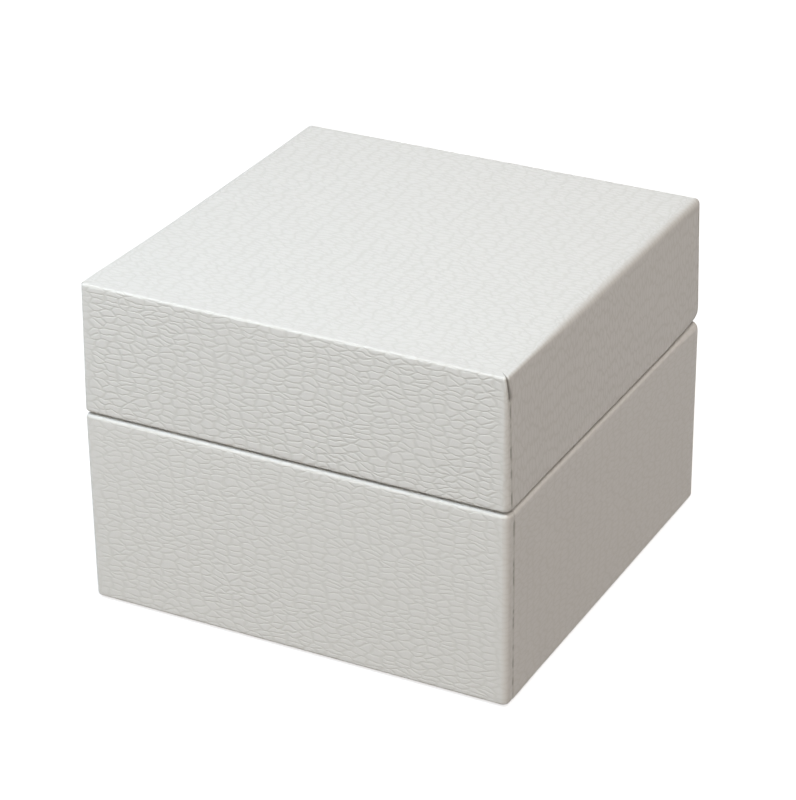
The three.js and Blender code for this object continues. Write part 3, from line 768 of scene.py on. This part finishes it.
# Hinge
# Two stamped leaves of bright nickel-plated steel with five rolled knuckles on one pin. Each is held by two
# rivets with domed heads. A bowed strip of spring steel in the middle snaps the lid open and shut.
def plated_steel(name, polish):
    """Brushed along the hinge: noise drawn out 40 times along x, over a faint mottle in the plating."""
    m = new_material(name)
    where = add_node(m, "ShaderNodeTexCoord")
    drawn = add_node(m, "ShaderNodeMapping", [("Vector", where, "Object")])
    drawn.inputs["Scale"].default_value = (130.0, 5200.0, 5200.0)
    brush = add_node(m, "ShaderNodeTexNoise", [("Vector", drawn, 0)], Scale=1.0, Detail=2.0)
    mottle = add_node(m, "ShaderNodeTexNoise", [("Vector", where, "Object")], Scale=400.0, Detail=2.0)
    tone = two_tones(m, mottle, 0, "#b9b8b4", "#d2d1cd")
    rough = add_node(m, "ShaderNodeMapRange", [("Value", brush, 0)])
    rough.inputs["To Min"].default_value = polish
    rough.inputs["To Max"].default_value = polish + 0.2
    relief = add_node(m, "ShaderNodeBump", [("Height", brush, 0)], Strength=0.35, Distance=0.01 * MM)
    return finish_material(m, add_node(
        m, "ShaderNodeBsdfPrincipled",
        [("Base_Color", tone, 2), ("Roughness", rough, 0), ("Normal", relief, 0)], Metallic=1.0))


nickel = plated_steel("nickel-plated steel, brushed", 0.2)
stamped_edge = 0.06 * MM
for node, body in (("hinge_leaf_base", "base"), ("hinge_leaf_lid", "lid"), ("hinge_pin", "base")):
    attach(softened(node + "_plated", node, stamped_edge, nickel), node, body)


def add_rivet(node, body):
    """A round rivet along y. Its profile is turned about its axis: a shank, then a head whose face is a low
    dome that rolls over into a short rim."""
    near, far = (np.array(corner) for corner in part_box(node))
    middle = (near + far) / 2
    head = (far[0] - near[0]) / 2
    shank, head_thick, rim = 0.6 * MM, 0.45 * MM, 0.12 * MM
    turn = np.linspace(0, np.pi / 2, 7)
    radius = np.concatenate([
        [0.0, shank, shank, head - rim], head - rim + rim * np.sin(turn[1:]),
        np.linspace(head - rim, 0.0, 8)])
    dome = (head_thick - 2 * rim) * (1 - (np.linspace(1, 0, 8)) ** 2)
    place = np.concatenate([
        [0.0, 0.0, far[1] - near[1] - head_thick, far[1] - near[1] - head_thick],
        far[1] - near[1] - head_thick + rim - rim * np.cos(turn[1:]),
        far[1] - near[1] - head_thick + 2 * rim + dome])
    radius[0], radius[-1] = 0.02 * MM, 0.02 * MM
    angle = np.linspace(0, 2 * np.pi, 32, endpoint=False)
    points = np.stack([
        middle[0] + radius[:, None] * np.cos(angle), far[1] - np.repeat(place[:, None], len(angle), axis=1),
        middle[2] + radius[:, None] * np.sin(angle)], axis=-1).reshape(-1, 3)
    piece = turned_out(add_mesh(node + "_domed", points, capped_tube(len(radius), len(angle)), nickel))
    attach(piece, node, body)


for side in ("left", "right"):
    add_rivet("rivet_base_" + side, "base")
    add_rivet("rivet_lid_" + side, "lid")

spring_low, spring_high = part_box("hinge_spring")
spring_thick = 0.3 * MM
spring_foot = 1.6 * MM
spring_t = np.linspace(0, 1, 61)
spring_z = spring_low[2] + (spring_high[2] - spring_low[2]) * spring_t
out_base = spring_high[1] - spring_thick / 2 - 0.02 * MM
out_lid = out_base - 0.155 * MM
apex = spring_low[1] + spring_thick / 2
foot_low, foot_high = spring_low[2] + spring_foot, spring_high[2] - spring_foot
rise = smooth(spring_z, foot_low, axis_z) * (1 - smooth(spring_z, axis_z, foot_high))
flat_line = out_base + (out_lid - out_base) * spring_t
spring_y = flat_line - (flat_line - apex) * rise
slope_y, slope_z = np.gradient(spring_y), np.gradient(spring_z)
slope = np.hypot(slope_y, slope_z)
spring_half = (spring_high[0] - spring_low[0]) / 2
spring_x = spring_half * np.array([-1, -0.985, -0.5, 0, 0.5, 0.985, 1])
edge_thick = spring_thick / 2 * np.array([0.55, 1, 1, 1, 1, 1, 0.55])
front_side, back_side = (np.stack([
    np.repeat(spring_x[None, :], len(spring_t), axis=0),
    spring_y[:, None] - way * edge_thick * (slope_z / slope)[:, None],
    spring_z[:, None] + way * edge_thick * (slope_y / slope)[:, None]], axis=-1) for way in (1, -1))
loops = np.concatenate([front_side, back_side[:, ::-1]], axis=1)
spring = turned_out(add_mesh(
    "bowed_spring", loops.reshape(-1, 3), capped_tube(len(spring_t), loops.shape[1]),
    plated_steel("spring steel", 0.28)))
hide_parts("hinge_spring")
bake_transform(spring)

# Pads
# The lift-out pad is a card board with two foam rolls under tight velvet and a slot between them that grips
# the ring. A thin satin-covered pad fills the lid's ceiling. The covers are pulled over and glued below.
sim_scale = 20
sim_frames = 20
pad_voxel = 1.5 * MM


def add_block(name, low, high, corner, top_round, bottom_round, material):
    """A block with upright round corners and its top and bottom edges rolled over: rows of a rounded square,
    set in and raised by a quarter circle at each edge."""
    turn = np.linspace(0, np.pi / 2, 7)
    inset = np.concatenate([bottom_round * (1 - np.sin(turn)), top_round * (1 - np.cos(turn))])
    level = np.concatenate(
        [low[2] + bottom_round * (1 - np.cos(turn)), high[2] - top_round * (1 - np.sin(turn))])
    half = (np.array(high) - np.array(low)) / 2
    middle = (np.array(high) + np.array(low)) / 2
    angle = np.radians(np.array([[-90, 0], [0, 90], [90, 180], [180, 270]]))
    turns = np.concatenate([np.linspace(a, b, 7) for a, b in angle])
    sign_x, sign_y = np.repeat([1, 1, -1, -1], 7), np.repeat([-1, 1, 1, -1], 7)
    radius = np.maximum(corner - inset, 0.2 * MM)[:, None]
    x = middle[0] + sign_x * (half[0] - inset[:, None] - radius) + radius * np.cos(turns)
    y = middle[1] + sign_y * (half[1] - inset[:, None] - radius) + radius * np.sin(turns)
    points = np.stack([x, y, np.repeat(level[:, None], len(turns), axis=1)], axis=-1).reshape(-1, 3)
    return turned_out(add_mesh(name, points, capped_tube(len(level), len(turns)), material))


def puff(piece, held_from, held_to, pressure, most, slack):
    """Swells a cover by cloth simulation at twenty times its size. Points with z between held_from and
    held_to are glued. The rest is blown up with a little slack, and no point moves more than most."""
    piece.data.transform(Matrix.Scale(sim_scale, 4))
    even = piece.modifiers.new("even", "REMESH")
    even.mode, even.voxel_size = "VOXEL", pad_voxel * sim_scale
    bpy.context.view_layer.update()
    mesh = bpy.data.meshes.new_from_object(piece.evaluated_get(bpy.context.evaluated_depsgraph_get()))
    piece.modifiers.clear()
    piece.data = mesh
    start = np.empty(len(mesh.vertices) * 3)
    mesh.vertices.foreach_get("co", start)
    start = start.reshape(-1, 3)
    glued = piece.vertex_groups.new(name="glued")
    level = start[:, 2] / sim_scale
    glued.add(np.nonzero((level >= held_from) & (level <= held_to))[0].tolist(), 1.0, "REPLACE")
    cloth = piece.modifiers.new("cloth", "CLOTH")
    settings = cloth.settings
    settings.quality = 6
    settings.mass = 0.4
    settings.tension_stiffness = settings.compression_stiffness = 18
    settings.shear_stiffness = 10
    settings.bending_stiffness = 1.5
    settings.use_pressure = True
    settings.uniform_pressure_force = pressure
    settings.shrink_min = -slack
    settings.vertex_group_mass = "glued"
    settings.effector_weights.gravity = 0
    cloth.point_cache.frame_start, cloth.point_cache.frame_end = 1, sim_frames
    for frame_number in range(1, sim_frames + 1):
        bpy.context.scene.frame_set(frame_number)
    mesh = bpy.data.meshes.new_from_object(piece.evaluated_get(bpy.context.evaluated_depsgraph_get()))
    piece.modifiers.clear()
    piece.data = mesh
    bpy.context.scene.frame_set(1)
    end = np.empty(len(mesh.vertices) * 3)
    mesh.vertices.foreach_get("co", end)
    moved = end.reshape(-1, 3) - start
    distance = np.linalg.norm(moved, axis=1, keepdims=True)
    limit = most * sim_scale
    moved = moved * np.tanh(distance / limit) * limit / np.maximum(distance, 1e-9)
    return (start + moved) / sim_scale


def finish_pad(piece, points, material):
    """Puts the finished points back, smooths the cover once and gives it its cloth."""
    piece.data.vertices.foreach_set("co", np.asarray(points, np.float32).ravel())
    piece.data.materials.clear()
    piece.data.materials.append(material)
    piece.data.shade_smooth()
    finer = piece.modifiers.new("finer", "SUBSURF")
    finer.levels = finer.render_levels = 1


pad_velvet = velvet("ivory cotton velvet", "#f3efe6", "#dcd6c8")
ribbon_half = (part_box("pull_ribbon")[1][0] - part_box("pull_ribbon")[0][0]) / 2
ribbon_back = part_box("pull_ribbon")[0][1] + 1.1 * MM
for node in ("pad_front_roll", "pad_back_roll"):
    near, far = (np.array(corner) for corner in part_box(node))
    roll = add_block(
        "velvet_" + node, near + np.array([0.6, 0.6, 0]) * MM, far - np.array([0.6, 0.6, 0.9]) * MM,
        2.2 * MM, 5 * MM, 0.4 * MM, pad_velvet)
    place = puff(roll, 0.0, near[2] + 1.2 * MM, 2.5, 0.9 * MM, 0.02)
    place = np.clip(place, near, far)
    if node == "pad_front_roll":
        pulled = 1 - smooth(np.abs(place[:, 0]), ribbon_half + 0.3 * MM, ribbon_half + 2.5 * MM)
        front = near[1] + (ribbon_back - near[1]) * pulled
        place[:, 1] = np.maximum(place[:, 1], front)
        under = pulled * (1 - smooth(place[:, 1], near[1] + 14 * MM, near[1] + 20 * MM))
        place[:, 2] = np.minimum(place[:, 2], far[2] - 0.35 * MM * under)
    finish_pad(roll, place, pad_velvet)
    attach(roll, node, "insert")

thread = 0.3 * MM


def satin(name, pale, deep, along_x):
    """Long floats lie one way, so the gloss is drawn out across them. The threads are drawn 0.3 mm apart,
    about three times too coarse, so that they show at all."""
    m = new_material(name)
    where = add_node(m, "ShaderNodeTexCoord")
    turned = add_node(m, "ShaderNodeMapping", [("Vector", where, "Object")])
    turned.inputs["Rotation"].default_value = (0, 0, 0 if along_x else math.pi / 2)
    wave = add_node(m, "ShaderNodeTexWave", [("Vector", turned, 0)], bands_direction="Y",
                    Scale=2 * math.pi / (20 * thread), Distortion=0.6, Detail=1.0)
    drawn = add_node(m, "ShaderNodeMapping", [("Vector", turned, 0)])
    drawn.inputs["Scale"].default_value = (260.0, 4200.0, 800.0)
    float_noise = add_node(m, "ShaderNodeTexNoise", [("Vector", drawn, 0)], Scale=1.0, Detail=2.0)
    soft = add_node(m, "ShaderNodeTexNoise", [("Vector", where, "Object")], Scale=60.0, Detail=2.0)
    tone = two_tones(m, soft, 0, deep, pale)
    height = add_node(m, "ShaderNodeMath", [(0, float_noise, 0), (2, wave, 1)], operation="MULTIPLY_ADD")
    height.inputs[1].default_value = 0.8
    relief = add_node(m, "ShaderNodeBump", [("Height", height, 0)], Strength=0.6, Distance=0.03 * MM)
    return finish_material(m, add_node(
        m, "ShaderNodeBsdfPrincipled", [("Base_Color", tone, 2), ("Normal", relief, 0)],
        Roughness=0.36, IOR=1.5, Anisotropic=0.5, Sheen_Weight=0.25, Sheen_Roughness=0.3))


ivory_satin = satin("ivory polyester satin", "#f6f2e9", "#e9e3d6", True)
near, far = (np.array(corner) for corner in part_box("lid_pad"))
ceiling_pad = add_block(
    "satin_lid_pad", near + np.array([0.5, 0.5, 1.1]) * MM, far - np.array([0.5, 0.5, 0]) * MM,
    1.2 * MM, 0.3 * MM, 2.8 * MM, ivory_satin)
place = puff(ceiling_pad, far[2] - 0.8 * MM, 1.0, 2.5, 1.3 * MM, 0.03)
finish_pad(ceiling_pad, np.clip(place, near, far), ivory_satin)
attach(ceiling_pad, "lid_pad", "lid")

# Boards
# Grey card, die cut, 1.2 mm under the velvet rolls and 1 mm above the satin pad. Its faces show short pulp
# fibres, and its cut edges are a little crushed and round.
grey_card = uncoated_paper("grey chipboard", "#a9a59c", "#8d8980", 0.9 * MM)
for node, body in (("insert_board", "insert"), ("lid_pad_board", "lid")):
    attach(softened(node + "_card", node, 0.15 * MM, grey_card), node, body)

# Ribbon
# A 10 mm satin ribbon to lift the pad by. It is glued under the board, comes up in front of the front roll,
# turns over its edge and lies back on it, with its free end sealed by heat.
ribbon_low, ribbon_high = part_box("pull_ribbon")
ribbon_thick = 0.35 * MM
turn_radius = 4.2 * MM
ribbon_front = ribbon_low[1] + ribbon_thick / 2
ribbon_top = ribbon_high[2] - ribbon_thick / 2
rise_length = ribbon_top - ribbon_low[2] - turn_radius
bend_length = math.pi / 2 * turn_radius
lay_length = ribbon_high[1] - ribbon_front - turn_radius
ribbon_length = rise_length + bend_length + lay_length
travel = np.linspace(0, ribbon_length, 90)[:, None]
angle = np.clip((travel - rise_length) / turn_radius, 0, math.pi / 2)
ribbon_y = ribbon_front + turn_radius * (1 - np.cos(angle))
ribbon_y = ribbon_y + np.maximum(travel - rise_length - bend_length, 0)
ribbon_z = ribbon_low[2] + np.minimum(travel, rise_length) + turn_radius * np.sin(angle)
across = np.linspace(-1, 1, 17)[None, :]
lift = smooth(travel, rise_length + bend_length, ribbon_length) * 0.5 * MM * (1 - 0.6 * across ** 2)
lift = lift + 0.12 * MM * ripple(travel / (4 * MM), 5) * smooth(travel, rise_length, ribbon_length)
ribbon_x = ribbon_half * across + 0 * travel
middle_line = np.stack([ribbon_x, ribbon_y + 0 * across, ribbon_z + lift], axis=-1)
outward = np.stack([0 * ribbon_x, -np.cos(angle) + 0 * across, np.sin(angle) + 0 * across], axis=-1)
selvedge = (0.5 + 0.5 * np.sqrt(np.clip(1 - across ** 8, 0, 1)))[..., None] * ribbon_thick / 2
sides = np.concatenate(
    [middle_line + outward * selvedge, (middle_line - outward * selvedge)[:, ::-1]], axis=1)
ribbon = turned_out(add_mesh(
    "satin_ribbon", sides.reshape(-1, 3), capped_tube(*sides.shape[:2]),
    satin("ivory satin ribbon", "#f7f3ea", "#ece6d9", False)))
attach(ribbon, "pull_ribbon", "insert")

# Foam riser
# A block of white closed-cell foam that the pad stands on, cut by a hot wire, so its edges are slightly
# melted round, its faces have faint wire marks and the cut cells show as small round pits.
def closed_cell_foam():
    """Pits are Voronoi cells 0.8 mm apart, pressed in at their middles and painted darker there as painted
    shade, over long faint wire marks.
    """
    m = new_material("white closed-cell foam")
    where = add_node(m, "ShaderNodeTexCoord")
    cells = add_node(m, "ShaderNodeTexVoronoi", [("Vector", where, "Object")], Scale=1 / (0.8 * MM))
    wires = add_node(m, "ShaderNodeMapping", [("Vector", where, "Object")])
    wires.inputs["Scale"].default_value = (12.0, 12.0, 900.0)
    marks_left = add_node(m, "ShaderNodeTexNoise", [("Vector", wires, 0)], Scale=1.0, Detail=1.0)
    # Painted shade: each pit is coloured darker towards its middle.
    tone = two_tones(m, cells, "Distance", "#e2e1dd", "#f4f3f0")
    height = add_node(
        m, "ShaderNodeMath", [(0, marks_left, 0), (2, cells, "Distance")], operation="MULTIPLY_ADD")
    height.inputs[1].default_value = 0.7
    relief = add_node(m, "ShaderNodeBump", [("Height", height, 0)], Strength=0.8, Distance=0.15 * MM)
    return finish_material(m, add_node(
        m, "ShaderNodeBsdfPrincipled", [("Base_Color", tone, 2), ("Normal", relief, 0)],
        Roughness=0.85, IOR=1.49))


near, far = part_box("foam_riser")
foam = closed_cell_foam()
riser = add_block("foam_riser_block", near, far, 0.9 * MM, 0.9 * MM, 0.9 * MM, foam)
attach(riser, "foam_riser", "base")
